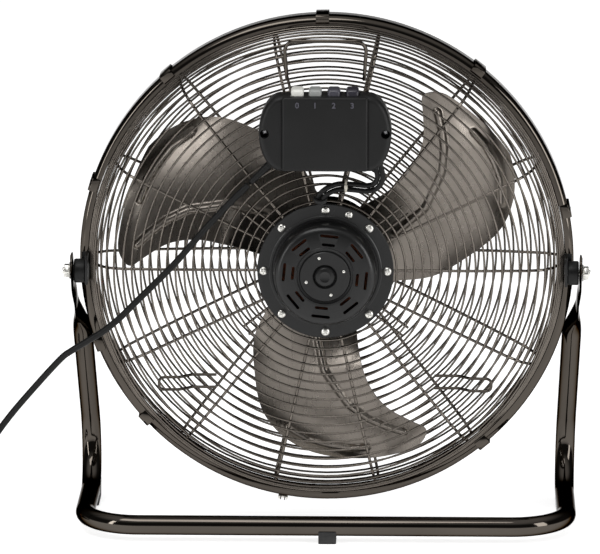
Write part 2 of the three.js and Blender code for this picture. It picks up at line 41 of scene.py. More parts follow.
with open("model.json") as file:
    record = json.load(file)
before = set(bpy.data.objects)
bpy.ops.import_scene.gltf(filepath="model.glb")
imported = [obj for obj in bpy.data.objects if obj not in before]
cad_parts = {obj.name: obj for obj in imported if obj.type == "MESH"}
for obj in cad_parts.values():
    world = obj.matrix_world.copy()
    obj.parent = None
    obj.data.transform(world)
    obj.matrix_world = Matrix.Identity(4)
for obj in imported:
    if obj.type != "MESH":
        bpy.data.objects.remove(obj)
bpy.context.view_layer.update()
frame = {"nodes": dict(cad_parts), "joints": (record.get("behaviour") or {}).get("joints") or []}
mm = 0.001
jointPlace = {joint["name"]: Vector(joint["pos_m"]) for joint in frame["joints"] if "pos_m" in joint}
fanCentre = jointPlace["fan_spin"]
pivotCentre = jointPlace["head_tilt"]
rearward = Vector((0, -1, 0))
print("frame loaded:", len(frame["nodes"]), "nodes")


def headPoint(x, back, up):
    return fanCentre + Vector((x, -back, up)) * mm


def polarPoint(radius, degrees, back):
    angle = math.radians(degrees)
    return headPoint(radius * math.cos(angle), back, radius * math.sin(angle))


def clearSelection():
    if bpy.context.object and bpy.context.object.mode != "OBJECT":
        bpy.ops.object.mode_set(mode="OBJECT")
    bpy.ops.object.select_all(action="DESELECT")


def takeUp(piece):
    clearSelection()
    piece.select_set(True)
    bpy.context.view_layer.objects.active = piece


def editMesh(choice="SELECT"):
    bpy.ops.object.mode_set(mode="EDIT")
    bpy.ops.mesh.select_all(action=choice)


def closeMesh():
    bpy.ops.mesh.normals_make_consistent(inside=False)
    bpy.ops.object.mode_set(mode="OBJECT")
    return bpy.context.object


# The corners that the test picks are moved by a shift in millimetres.
def shiftCorners(piece, test, shift):
    editMesh("DESELECT")
    bpy.ops.object.mode_set(mode="OBJECT")
    for vertex in piece.data.vertices:
        vertex.select = test(vertex.co)
    bpy.ops.object.mode_set(mode="EDIT")
    bpy.ops.transform.translate(value=Vector(shift) * mm)
    bpy.ops.object.mode_set(mode="OBJECT")


def applyModifier(piece, kind, **settings):
    takeUp(piece)
    modifier = piece.modifiers.new(kind.title(), kind)
    for setting, value in settings.items():
        setattr(modifier, setting, value)
    bpy.ops.object.modifier_apply(modifier=modifier.name)


def roundEdges(piece, width, segments=3, angle=35):
    applyModifier(piece, "BEVEL", width=width * mm, segments=segments,
                  limit_method="ANGLE", angle_limit=math.radians(angle))


def cutAway(piece, tools):
    tool = joinPieces(tools)
    applyModifier(piece, "BOOLEAN", operation="DIFFERENCE", object=tool, solver="EXACT")
    bpy.data.objects.remove(tool)


def joinPieces(pieces):
    takeUp(pieces[0])
    for piece in pieces[1:]:
        piece.select_set(True)
    if len(pieces) > 1:
        bpy.ops.object.join()
    return bpy.context.object


def copyOf(piece, matrix):
    twin = piece.copy()
    twin.data = piece.data.copy()
    bpy.context.scene.collection.objects.link(twin)
    twin.data.transform(matrix)
    if matrix.determinant() < 0:
        twin.data.flip_normals()
    return twin


def turnedAbout(centre, axis, degrees):
    turn = Matrix.Rotation(math.radians(degrees), 4, axis)
    return Matrix.Translation(centre) @ turn @ Matrix.Translation(-centre)


def mirroredAcross():
    return Matrix.Diagonal((-1, 1, 1, 1))


def boxPiece(low, high, edge=0.0, segments=3):
    clearSelection()
    low, high = Vector(low), Vector(high)
    bpy.ops.mesh.primitive_cube_add(size=1, location=(low + high) / 2, scale=high - low)
    piece = bpy.context.object
    bpy.ops.object.transform_apply(location=True, rotation=True, scale=True)
    if edge:
        roundEdges(piece, edge, segments)
    return piece


def headBox(x0, x1, back0, back1, up0, up1, edge=0.0, segments=3):
    return boxPiece(headPoint(x0, back1, up0), headPoint(x1, back0, up1), edge, segments)


# A chain of edges, drawn point by point. It is left in edit mode with all of it selected.
def drawChain(stops):
    clearSelection()
    bpy.ops.mesh.primitive_plane_add(size=mm, location=(0, 0, 0))
    bpy.ops.object.mode_set(mode="EDIT")
    bpy.ops.mesh.merge(type="CENTER")
    bpy.ops.transform.translate(value=stops[0])
    for before, after in zip(stops, stops[1:]):
        bpy.ops.mesh.extrude_vertices_move(TRANSFORM_OT_translate={"value": after - before})
    bpy.ops.mesh.select_all(action="SELECT")


# A round piece: its profile of (radius, distance along the axis) is drawn and spun.
def spunPiece(profile, centre, axis=rearward, steps=64):
    radial = Vector((0, 0, 1)) if abs(axis.z) < 0.5 else Vector((1, 0, 0))
    drawChain([centre + (radial * r + axis * along) * mm for r, along in profile])
    bpy.ops.mesh.spin(steps=steps, angle=2 * math.pi, center=centre, axis=axis)
    bpy.ops.mesh.select_all(action="SELECT")
    bpy.ops.mesh.remove_doubles(threshold=2e-6)
    return closeMesh()


# A wire or tube along given points, as a swept path made into a mesh.
def wirePiece(points, radius, resolution=2, closed=False):
    clearSelection()
    bpy.ops.curve.primitive_nurbs_path_add(location=(0, 0, 0))
    path = bpy.context.object
    path.data.splines.clear()
    spline = path.data.splines.new("POLY")
    spline.points.add(len(points) - 1)
    for stop, point in zip(spline.points, points):
        stop.co = (point[0], point[1], point[2], 1)
    spline.use_cyclic_u = closed
    path.data.dimensions = "3D"
    path.data.bevel_depth = radius * mm
    path.data.bevel_resolution = resolution
    path.data.use_fill_caps = not closed
    bpy.ops.object.convert(target="MESH")
    editMesh()
    bpy.ops.mesh.remove_doubles(threshold=1e-6)
    return closeMesh()


# Straight runs with their corners bent to one radius.
def bentPath(corners, bendRadius, steps=8):
    path = [corners[0].copy()]
    for before, corner, after in zip(corners, corners[1:], corners[2:]):
        arriving = (before - corner).normalized()
        leaving = (after - corner).normalized()
        half = arriving.angle(leaving) / 2
        centre = corner + (arriving + leaving).normalized() * (bendRadius * mm / math.sin(half))
        start = corner + arriving * (bendRadius * mm / math.tan(half)) - centre
        end = corner + leaving * (bendRadius * mm / math.tan(half)) - centre
        path += [centre + start.slerp(end, k / steps) * bendRadius * mm for k in range(steps + 1)]
    return path + [corners[-1].copy()]


# The spot at share t of span k, on a smooth curve through all the points.
def curveSpot(points, k, t):
    p0, p1 = points[max(k - 1, 0)], points[k]
    p2, p3 = points[k + 1], points[min(k + 2, len(points) - 1)]
    return 0.5 * (2 * p1 + (p2 - p0) * t + (2 * p0 - 5 * p1 + 4 * p2 - p3) * t ** 2
                  + (3 * p1 - p0 - 3 * p2 + p3) * t ** 3)


def smoothLine(points, stepsPerSpan=6):
    line = []
    for k in range(len(points) - 1):
        line += [curveSpot(points, k, step / stepsPerSpan) for step in range(stepsPerSpan)]
    return line + [points[-1].copy()]


def ease(value, low, high):
    share = min(max((value - low) / (high - low), 0), 1)
    return share * share * (3 - 2 * share)


def install(piece, name, finish, body, replaced=(), smoothAngle=38):
    takeUp(piece)
    bpy.ops.object.transform_apply(location=True, rotation=True, scale=True)
    bpy.ops.object.shade_smooth_by_angle(angle=math.radians(smoothAngle))
    piece.name = name
    piece.data.name = name
    piece.data.materials.clear()
    piece.data.materials.append(finishes[finish])
    if body:
        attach(piece, body)
    if replaced:
        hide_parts(*replaced)
    return piece


def noiseNode(nodes, links, scale, detail=3.0, stretch=(1, 1, 1)):
    coords = nodes.new("ShaderNodeTexCoord")
    mapping = nodes.new("ShaderNodeMapping")
    mapping.inputs["Scale"].default_value = stretch
    noise = nodes.new("ShaderNodeTexNoise")
    setSockets(noise, {"Scale": scale, "Detail": detail})
    links.new(coords.outputs["Object"], mapping.inputs["Vector"])
    links.new(mapping.outputs["Vector"], noise.inputs["Vector"])
    return noise.outputs["Fac"]


def setSockets(node, values):
    for socket, value in values.items():
        node.inputs[socket].default_value = value


def rangeNode(nodes, start, end, low=0.0, high=1.0, kind="LINEAR"):
    node = nodes.new("ShaderNodeMapRange")
    node.interpolation_type = kind
    setSockets(node, {"From Min": low, "From Max": high, "To Min": start, "To Max": end})
    return node


def makeFinish(name, look):
    material = bpy.data.materials.new(name)
    material.use_nodes = True
    nodes, links = material.node_tree.nodes, material.node_tree.links
    shader = nodes["Principled BSDF"]
    setSockets(shader, {"Metallic": look.get("metallic", 0), **look.get("sockets", {})})
    mottle = nodes.new("ShaderNodeValToRGB")
    spread = look.get("mottle", 0.1)
    darkColour = [c * (1 - spread) for c in look["colour"]] + [1]
    lightColour = [c * (1 + spread) for c in look["colour"]] + [1]
    mottle.color_ramp.elements[0].position = 0.3
    mottle.color_ramp.elements[0].color = darkColour
    mottle.color_ramp.elements[1].position = 0.7
    mottle.color_ramp.elements[1].color = lightColour
    links.new(noiseNode(nodes, links, look.get("mottleScale", 25)), mottle.inputs["Fac"])
    links.new(mottle.outputs["Color"], shader.inputs["Base Color"])
    polish = rangeNode(nodes, *look["roughness"])
    smear = noiseNode(nodes, links, look.get("smearScale", 60), 4.0, look.get("stretch", (1, 1, 1)))
    links.new(smear, polish.inputs["Value"])
    links.new(polish.outputs["Result"], shader.inputs["Roughness"])
    bump = nodes.new("ShaderNodeBump")
    setSockets(bump, {"Strength": look.get("bump", 0.2), "Distance": look.get("bumpDepth", 0.1) * mm})
    grain = noiseNode(nodes, links, look.get("grainScale", 900), 5.0, look.get("stretch", (1, 1, 1)))
    links.new(grain, bump.inputs["Height"])
    links.new(bump.outputs["Normal"], shader.inputs["Normal"])
    return material


looks = {
    "gunmetal_chrome": {"colour": (0.080, 0.070, 0.060), "metallic": 1, "roughness": (0.05, 0.11),
                        "mottle": 0.08, "mottleScale": 9, "grainScale": 140, "bump": 0.03,
                        "sockets": {"Specular Tint": (0.12, 0.11, 0.10, 1)}},
    "guard_wire": {"colour": (0.150, 0.133, 0.116), "metallic": 1, "roughness": (0.16, 0.28),
                   "mottle": 0.12, "mottleScale": 60, "grainScale": 1500, "bump": 0.03,
                   "sockets": {"Specular Tint": (0.15, 0.14, 0.13, 1)}},
    "blade_metal": {"colour": (0.25, 0.224, 0.198), "metallic": 1, "roughness": (0.24, 0.32),
                    "mottle": 0.05, "mottleScale": 8, "grainScale": 900, "stretch": (1, 1, 0.03),
                    "bump": 0.05, "bumpDepth": 0.03, "smearScale": 300,
                    "sockets": {"Specular Tint": (0.4, 0.38, 0.35, 1)}},
    "zinc_fastener": {"colour": (0.72, 0.71, 0.67), "metallic": 1, "roughness": (0.18, 0.38),
                      "mottle": 0.12, "mottleScale": 300, "grainScale": 1600, "bump": 0.15},
    "bare_steel": {"colour": (0.46, 0.46, 0.47), "metallic": 1, "roughness": (0.22, 0.42),
                   "mottle": 0.15, "mottleScale": 120, "grainScale": 1200, "stretch": (1, 0.05, 1)},
    "copper_winding": {"colour": (0.24, 0.075, 0.035), "metallic": 0.8, "roughness": (0.30, 0.55),
                       "mottle": 0.35, "mottleScale": 200, "grainScale": 500, "stretch": (1, 0.1, 1)},
    "black_paint": {"colour": (0.008, 0.008, 0.008), "roughness": (0.24, 0.34), "mottle": 0.15,
                    "grainScale": 1100, "bump": 0.12, "sockets": {"Specular IOR Level": 0.36}},
    "black_plastic": {"colour": (0.009, 0.009, 0.009), "roughness": (0.36, 0.48), "mottle": 0.12,
                      "grainScale": 2600, "bump": 0.25, "bumpDepth": 0.06,
                      "sockets": {"Specular IOR Level": 0.22}},
    "rubber_black": {"colour": (0.016, 0.016, 0.016), "roughness": (0.62, 0.82), "mottle": 0.3,
                     "mottleScale": 140, "grainScale": 1500, "bump": 0.5},
    "cord_jacket": {"colour": (0.006, 0.006, 0.006), "roughness": (0.34, 0.46), "mottle": 0.15,
                    "mottleScale": 90, "grainScale": 1200, "bump": 0.15,
                    "sockets": {"Specular IOR Level": 0.2}},
    "inner_plastic": {"colour": (0.55, 0.52, 0.45), "roughness": (0.4, 0.55), "mottle": 0.08},
    "key_white": {"colour": (0.80, 0.80, 0.75), "roughness": (0.28, 0.40), "mottle": 0.03,
                  "grainScale": 1800, "bump": 0.10},
    "key_grey": {"colour": (0.32, 0.33, 0.32), "roughness": (0.28, 0.40), "mottle": 0.04,
                 "grainScale": 1800, "bump": 0.10},
    "key_slate": {"colour": (0.060, 0.058, 0.075), "roughness": (0.28, 0.40), "mottle": 0.06,
                  "grainScale": 1800, "bump": 0.10},
    "key_navy": {"colour": (0.022, 0.020, 0.030), "roughness": (0.28, 0.40), "mottle": 0.06,
                 "grainScale": 1800, "bump": 0.10},
}
finishes = {name: makeFinish(name, look) for name, look in looks.items()}
print("finishes made:", len(finishes))


camera = {"azimuth": 1.4, "elevation": 12.0, "distance": 6.0, "lens": 346.7,
          "aimRight": -28.0, "aimUp": -22.5}


def placeCamera():
    azimuth, elevation = math.radians(camera["azimuth"]), math.radians(camera["elevation"])
    toCamera = Vector((math.sin(azimuth) * math.cos(elevation),
                       -math.cos(azimuth) * math.cos(elevation), math.sin(elevation)))
    right = Vector((math.cos(azimuth), math.sin(azimuth), 0))
    up = toCamera.cross(right)
    target = fanCentre + (right * camera["aimRight"] + up * camera["aimUp"]) * mm
    clearSelection()
    bpy.ops.object.camera_add(location=target + toCamera * camera["distance"])
    view = bpy.context.object
    view.name = "mainCamera"
    view.rotation_euler = (-toCamera).to_track_quat("-Z", "Y").to_euler()
    view.data.lens = camera["lens"]
    view.data.sensor_width = 36
    view.data.clip_end = 100
    bpy.context.scene.camera = view


placeCamera()


lead = {"radius": 3.5, "length": 1.6, "coilMiddle": 40, "coilX": -405, "coilY": -4, "plugX": -463,
        "plugY": 3}


def leadRoute():
    route = [
        [-78.4, -76, 369.8], [-98, -73.4, 350], [-125, -69.6, 320], [-152, -66.8, 288], [-175, -65.6, 264],
        [-192, -64.8, 247], [-210, -63.6, 228.6], [-227, -61.8, 214], [-244, -58.8, 202.5],
        [-262, -55, 190.5], [-273, -52, 181.5], [-299, -46.5, 152], [-326, -42.5, 119.5], [-345, -43, 93],
        [-362, -46, 64], [-377, -50.5, 37], [-390, -54.5, 17], [-400, -56.2, 7], [-412, -56.6, 3.9],
    ]
    return [Vector(point) * mm for point in route]


def coilTurns():
    centre = Vector((lead["coilX"], lead["coilY"], 0))
    pitch = 2 * lead["radius"] + 0.25
    inner, outer = lead["coilMiddle"] - pitch / 2, lead["coilMiddle"] + pitch / 2
    low, high = lead["radius"] + 0.2, lead["radius"] + 0.2 + pitch
    stages = [(53.1, 3.9, 0), (outer, low, 75), (outer, low, 330), (inner, low, 390), (inner, low, 690),
              (inner, high, 750), (inner, high, 1050), (outer, high, 1110), (outer, high, 1500)]
    turns = []
    for (r0, z0, a0), (r1, z1, a1) in zip(stages, stages[1:]):
        count = max(int((a1 - a0) / 12), 1)
        for k in range(count):
            share = ease(k / count, 0, 1)
            angle = math.radians(-97.6 - a0 - (a1 - a0) * k / count)
            radius = r0 + (r1 - r0) * share
            spot = Vector((math.cos(angle) * radius, math.sin(angle) * radius, z0 + (z1 - z0) * share))
            turns.append((centre + spot) * mm)
    return turns


def buildLead():
    tail = [Vector(point) * mm for point in
            [(-452.5, -16, 12.2), (-459.5, -8, 14.8), (-462.6, -2, 17.4),
             (lead["plugX"], lead["plugY"] + 1, 18.6)]]
    line = smoothLine(leadRoute()[:-1] + coilTurns() + tail, 4)
    cordPiece = wirePiece(line, lead["radius"], 3)
    install(cordPiece, "mainsLead", "cord_jacket", None, ["power_cord", "cord_coil"])

    plug = spunPiece([(0, -1), (4.2, -1), (4.4, 2), (3.9, 3), (4.5, 6), (4.1, 7), (4.8, 10), (4.4, 11),
                      (5.1, 15), (4.8, 16), (5.6, 20), (8, 23), (14, 29), (17.6, 34), (18.4, 37),
                      (18.4, 53), (17.6, 55.2), (16.4, 56), (0, 56)],
                     Vector((lead["plugX"], lead["plugY"], 18.6)) * mm, Vector((0, 1, 0)), 40)
    for x in (-9.5, 9.5):
        pinCentre = Vector((lead["plugX"] + x, lead["plugY"] + 56, 18.6)) * mm
        sleeve = spunPiece([(0, -1), (2.3, -1), (2.3, 9), (2.0, 9.2), (0, 9.2)], pinCentre, -rearward, 16)
        plug = joinPieces([plug, sleeve])
        tip = spunPiece([(0, 8), (2.35, 8), (2.35, 17.2), (1.6, 18.9), (0, 19)], pinCentre, -rearward, 16)
        install(tip, "plugPin_" + ("left" if x < 0 else "right"), "zinc_fastener", "root")
    install(plug, "mainsPlug", "cord_jacket", "root", ["plug"])

    boot = [(0, 0), (6.2, 0)]
    for k in range(7):
        along = 2 + 4 * k
        radius = 6.1 - 0.24 * k
        boot += [(radius, along), (radius, along + 2.4), (radius - 0.7, along + 2.7),
                 (radius - 0.7, along + 3.6)]
    boot += [(4.5, 30), (0, 30)]
    start = headPoint(-56.7, 95, 114.5)
    relief = spunPiece(boot, start, Vector((-1, 0, -1)).normalized(), 32)
    install(relief, "strainRelief", "cord_jacket", "head", ["strain_relief"])

    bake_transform(cordPiece)
    run = sum((b - a).length for a, b in zip(line, line[1:]))
    print("mains lead made, length", round(run, 3))


buildLead()


stand = {"tubeRadius": 10.25, "railHeight": 17, "railX": 249.5, "crossbarBack": 116, "cornerRadius": 58,
         "heelRadius": 50, "lean": 31.93, "legTopX": 254.6, "pressedX": 262.4, "pressedWall": 3.2,
         "pressedWidth": 33, "pressedTop": 20, "legStart": -90, "pressStart": -84, "pressEnd": -44}


def legCentreX(along):
    outward = 0.72 * ease(along, stand["pressStart"], -42) + 0.28 * ease(along, -42, -14)
    return stand["legTopX"] + (stand["pressedX"] - stand["legTopX"]) * outward


def legPoint(along):
    lean = math.radians(stand["lean"])
    return Vector((legCentreX(along) * mm, pivotCentre.y - along * math.sin(lean) * mm,
                   pivotCentre.z + along * math.cos(lean) * mm))


def standPath():
    lean = math.radians(stand["lean"])
    rail = stand["railHeight"] * mm
    crossbarY = fanCentre.y - stand["crossbarBack"] * mm
    heelY = pivotCentre.y + (pivotCentre.z - rail) * math.tan(lean)
    middle = Vector((0, crossbarY, rail))
    corner = Vector((stand["railX"] * mm, crossbarY, rail))
    heel = Vector((stand["railX"] * mm, heelY, rail))
    legStops = [legPoint(stand["legStart"] + 2 * k) for k in range(56)]
    right = bentPath([middle, corner, heel], stand["cornerRadius"], 20)[1:-1]
    right += bentPath([corner, heel, legStops[0]], stand["heelRadius"], 24)[1:-1]
    right += legStops
    left = [Vector((-p.x, p.y, p.z)) for p in reversed(right)]
    return left + right


# The leg ends are pressed flat and rounded off where the pivot studs go through.
def pressLegEnds(tube):
    lean = math.radians(stand["lean"])
    for vertex in tube.data.vertices:
        up = (vertex.co.z - pivotCentre.z) / mm
        ahead = (vertex.co.y - pivotCentre.y) / mm
        along = up * math.cos(lean) - ahead * math.sin(lean)
        if along < stand["pressStart"]:
            continue
        across = ahead * math.cos(lean) + up * math.sin(lean)
        press = ease(along, stand["pressStart"], stand["pressEnd"])
        thin = 1 + (stand["pressedWall"] / (2 * stand["tubeRadius"]) - 1) * press
        wide = 1 + (stand["pressedWidth"] / (2 * stand["tubeRadius"]) - 1) * press
        tip = max(along - 4, 0) / (stand["pressedTop"] - 3.6)
        wide *= math.sqrt(max(1 - tip ** 2, 0.004))
        side = math.copysign(1, vertex.co.x)
        middle = side * legCentreX(along)
        vertex.co.x = (middle + (vertex.co.x / mm - middle) * thin) * mm
        vertex.co.y = pivotCentre.y + (-along * math.sin(lean) + across * wide * math.cos(lean)) * mm
        vertex.co.z = pivotCentre.z + (along * math.cos(lean) + across * wide * math.sin(lean)) * mm


def buildStand():
    tube = wirePiece(standPath(), stand["tubeRadius"], 6)
    pressLegEnds(tube)
    install(tube, "standTube", "gunmetal_chrome", "root", ["stand_tube"], 50)


feet = {"rearHalf": 9.2, "rearX": 3, "rearFront": 107, "rearBack": 126.6, "rearTop": 12.9,
        "shoeUndercut": 9}


def buildFeet():
    y0, y1 = fanCentre.y - feet["rearBack"] * mm, fanCentre.y - feet["rearFront"] * mm
    x0, x1 = (feet["rearX"] - feet["rearHalf"]) * mm, (feet["rearX"] + feet["rearHalf"]) * mm
    rearFoot = boxPiece((x0, y0, 0), (x1, y1, feet["rearTop"] * mm), 1.2)
    install(rearFoot, "rearFoot", "rubber_black", "root", ["rear_foot"])
    for name in ("left", "right"):
        low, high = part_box("front_foot_" + name)
        foot = boxPiece(low, high)
        shiftCorners(foot, lambda co: co.z < low.z + mm and co.y > high.y - mm,
                     (0, -feet["shoeUndercut"], 0))
        roundEdges(foot, 1.5)
        install(foot, "frontFoot_" + name, "rubber_black", "root", ["front_foot_" + name])


buildStand()
buildFeet()
print("stand made")


guard = {"spokes": 14, "ringWire": 1.1, "spokeWire": 1.5, "ringPitch": 9.0, "firstRing": 73, "rearRings": 16,
         "frontFirst": 50, "frontRings": 21, "stubFrom": 68, "stubTo": 104, "stubBack": 75.3, "stubGap": 5,
         "stubAngles": (38, 142, 218, 322)}
rearWall = [(217.5, 73.6), (225.2, 69.8), (231, 64.8), (235.2, 58.8), (238.2, 52), (240.4, 45),
            (242.2, 38.2), (243.7, 31.8), (245, 26.3)]
frontWall = [(236, -16), (240.4, -11.6), (243, -7.8), (244.6, -4.6)]


def rearFaceBack(radius):
    return 77.7 - 2.1 * ease(radius, 150, 212)


def frontFaceBack(radius):
    return -38 + 18.5 * (radius / 230) ** 3


def ringSet(rings):
    parts = []
    for radius, back in rings:
        clearSelection()
        bpy.ops.mesh.primitive_torus_add(location=headPoint(0, back, 0), rotation=(math.pi / 2, 0, 0),
                                         major_radius=radius * mm, minor_radius=guard["ringWire"] * mm,
                                         major_segments=112, minor_segments=8)
        parts.append(bpy.context.object)
    return joinPieces(parts)


# A spoke lies on the inner side of the rings, so its line is the ring profile moved inward.
def spokeLine(profile, side):
    offset = (guard["ringWire"] + guard["spokeWire"]) * 0.88
    line = []
    for k, (radius, back) in enumerate(profile):
        r0, b0 = profile[max(k - 1, 0)]
        r1, b1 = profile[min(k + 1, len(profile) - 1)]
        run = math.hypot(r1 - r0, b1 - b0)
        normal = (-(b1 - b0) / run * side, (r1 - r0) / run * side)
        line.append(headPoint(radius + normal[0] * offset, back + normal[1] * offset, 0))
    return line


def spokeSet(profile, side):
    spoke = wirePiece(spokeLine(profile, side), guard["spokeWire"], 2)
    spokes = [spoke]
    for k in range(1, guard["spokes"]):
        spokes.append(copyOf(spoke, turnedAbout(fanCentre, "Y", 360 * k / guard["spokes"])))
    return joinPieces(spokes)


def buildRearGuard():
    faceRadii = [guard["firstRing"] + guard["ringPitch"] * k for k in range(guard["rearRings"])]
    rings = [(r, rearFaceBack(r)) for r in faceRadii] + rearWall
    profile = [(66, rearFaceBack(66)), (70, rearFaceBack(70))] + rings[1::2]
    if profile[-1] != rings[-1]:
        profile.append(rings[-1])
    parts = [ringSet(rings), spokeSet(profile, -1)]
    for degrees in guard["stubAngles"]:
        for side in (-1, 1):
            shift = polarPoint(side * guard["stubGap"], degrees + 90, 0) - fanCentre
            ends = [polarPoint(guard[key], degrees, guard["stubBack"]) + shift
                    for key in ("stubFrom", "stubTo")]
            parts.append(wirePiece(ends, guard["spokeWire"] * 0.9, 2))
    install(joinPieces(parts), "rearGuard", "guard_wire", "head", ["rear_guard"], 60)


def buildFrontGuard():
    faceRadii = [guard["frontFirst"] + guard["ringPitch"] * k for k in range(guard["frontRings"])]
    rings = [(r, frontFaceBack(r)) for r in faceRadii] + frontWall
    profile = [(42, frontFaceBack(42))] + rings[::2]
    if profile[-1] != rings[-1]:
        profile.append(rings[-1])
    install(joinPieces([ringSet(rings), spokeSet(profile, 1)]), "frontGuard", "guard_wire", "head",
            ["front_guard"], 60)


hoop = {"outer": 255.5, "front": -7, "rear": 25, "lip": 246.4, "sheet": 0.9, "screwAngle": 260,
        "clipAngles": (91, 130.5, 162, 201, 222, 310, 52, 12), "clipHalf": 6.8}


# A rolled channel: its two flanges are turned in over the guards' edges.
def buildHoop():
    outer, front, rear = hoop["outer"], hoop["front"], hoop["rear"]
    lip, sheet = hoop["lip"], hoop["sheet"]
    outside = [(lip, front + 0.3), (lip + 0.4, front), (outer - 3.4, front), (outer - 1.2, front + 0.9),
               (outer, front + 3), (outer, rear - 5.5), (outer - 0.4, rear - 3.9), (outer - 1.4, rear - 2.3),
               (outer - 2.9, rear - 1), (outer - 4.8, rear - 0.2), (outer - 6.2, rear),
               (lip + 0.4, rear), (lip, rear - 0.3)]
    inside = [(lip, rear - sheet), (outer - 6, rear - sheet), (outer - 3.4, rear - 1.9),
              (outer - 2.2, rear - 2.9), (outer - sheet, rear - 5.7), (outer - sheet, front + 3.2),
              (outer - 3.4, front + sheet), (lip, front + sheet)]
    band = spunPiece(outside + inside + outside[:1], fanCentre, rearward, 160)
    install(band, "guardBand", "gunmetal_chrome", "head", ["guard_band"], 32)


# One strip of sheet bent over the band and hooked on both its edges.
def clipPiece(width):
    outer, lip = hoop["outer"] + 1.4, hoop["lip"] + 1.2
    front, rear = hoop["front"] - 1.2, hoop["rear"] + 1.2
    stops = [(lip, front), (outer - 1.6, front), (outer, front + 1.6), (outer + 0.2, (front + rear) / 2),
             (outer, rear - 1.6), (outer - 1.6, rear), (lip, rear)]
    drawChain([headPoint(-width, back, radius) for radius, back in stops])
    bpy.ops.mesh.extrude_edges_move(TRANSFORM_OT_translate={"value": (2 * width * mm, 0, 0)})
    bpy.ops.mesh.select_all(action="SELECT")
    strip = closeMesh()
    applyModifier(strip, "SOLIDIFY", thickness=1.1 * mm, offset=0)
    roundEdges(strip, 0.35, 2, 30)
    return strip


def buildClips():
    first = clipPiece(hoop["clipHalf"])
    middle = (hoop["front"] + hoop["rear"]) / 2
    dimple = spunPiece([(0, 0.8), (1.6, 0.6), (2.6, 0.1), (2.8, -0.8), (0, -0.8)],
                       headPoint(0, middle, hoop["outer"] + 1.6), Vector((0, 0, 1)), 20)
    first = joinPieces([first, dimple])
    for k, degrees in enumerate(hoop["clipAngles"]):
        clip = copyOf(first, turnedAbout(fanCentre, "Y", 90 - degrees))
        install(clip, f"guardClip_{k + 1}", "gunmetal_chrome", "head", [f"guard_clip_{k + 1}"])
    bpy.data.objects.remove(first)


# The band's ends are drawn together by a screw through two turned-up ears at the bottom.
def buildBandScrew():
    degrees = hoop["screwAngle"]
    radius = hoop["outer"] + 4
    middle = (hoop["front"] + hoop["rear"]) / 2
    along = polarPoint(1, degrees + 90, 0) - fanCentre
    along.normalize()
    centre = polarPoint(radius, degrees, middle)
    screw = spunPiece([(0, -5), (2.6, -5), (3.3, -4.2), (3.4, -2.6), (1.7, -2.5), (1.7, 3.6), (3.2, 3.7),
                       (3.2, 4.8), (0, 5)], centre, along, 24)
    slot = boxPiece(centre + Vector((-0.4, -3.5, -0.4)) * mm, centre + Vector((0.4, 3.5, 0.4)) * mm)
    slot.data.transform(Matrix.Translation(-along * 5 * mm))
    cutAway(screw, [slot])
    install(screw, "bandScrew", "zinc_fastener", "head", ["band_screw"])
    ears = []
    for offset in (-1.6, 2.6):
        ear = headBox(offset - 0.5, offset + 0.5, middle - 5, middle + 5, hoop["outer"] - 0.6, radius + 3,
                      0.35, 2)
        ear.data.transform(turnedAbout(fanCentre, "Y", 90 - degrees))
        ears.append(ear)
    install(joinPieces(ears), "bandEars", "gunmetal_chrome", "head")


buildRearGuard()
buildFrontGuard()
buildHoop()
buildClips()
buildBandScrew()
print("guards and hoop made")


pivot = {"bracketX": 246, "bracketWall": 2.6, "spacerRadius": 12.5, "nutRadius": 7.5, "studEnd": 272.5,
         "above": 17.3, "flangeX": 253.6}


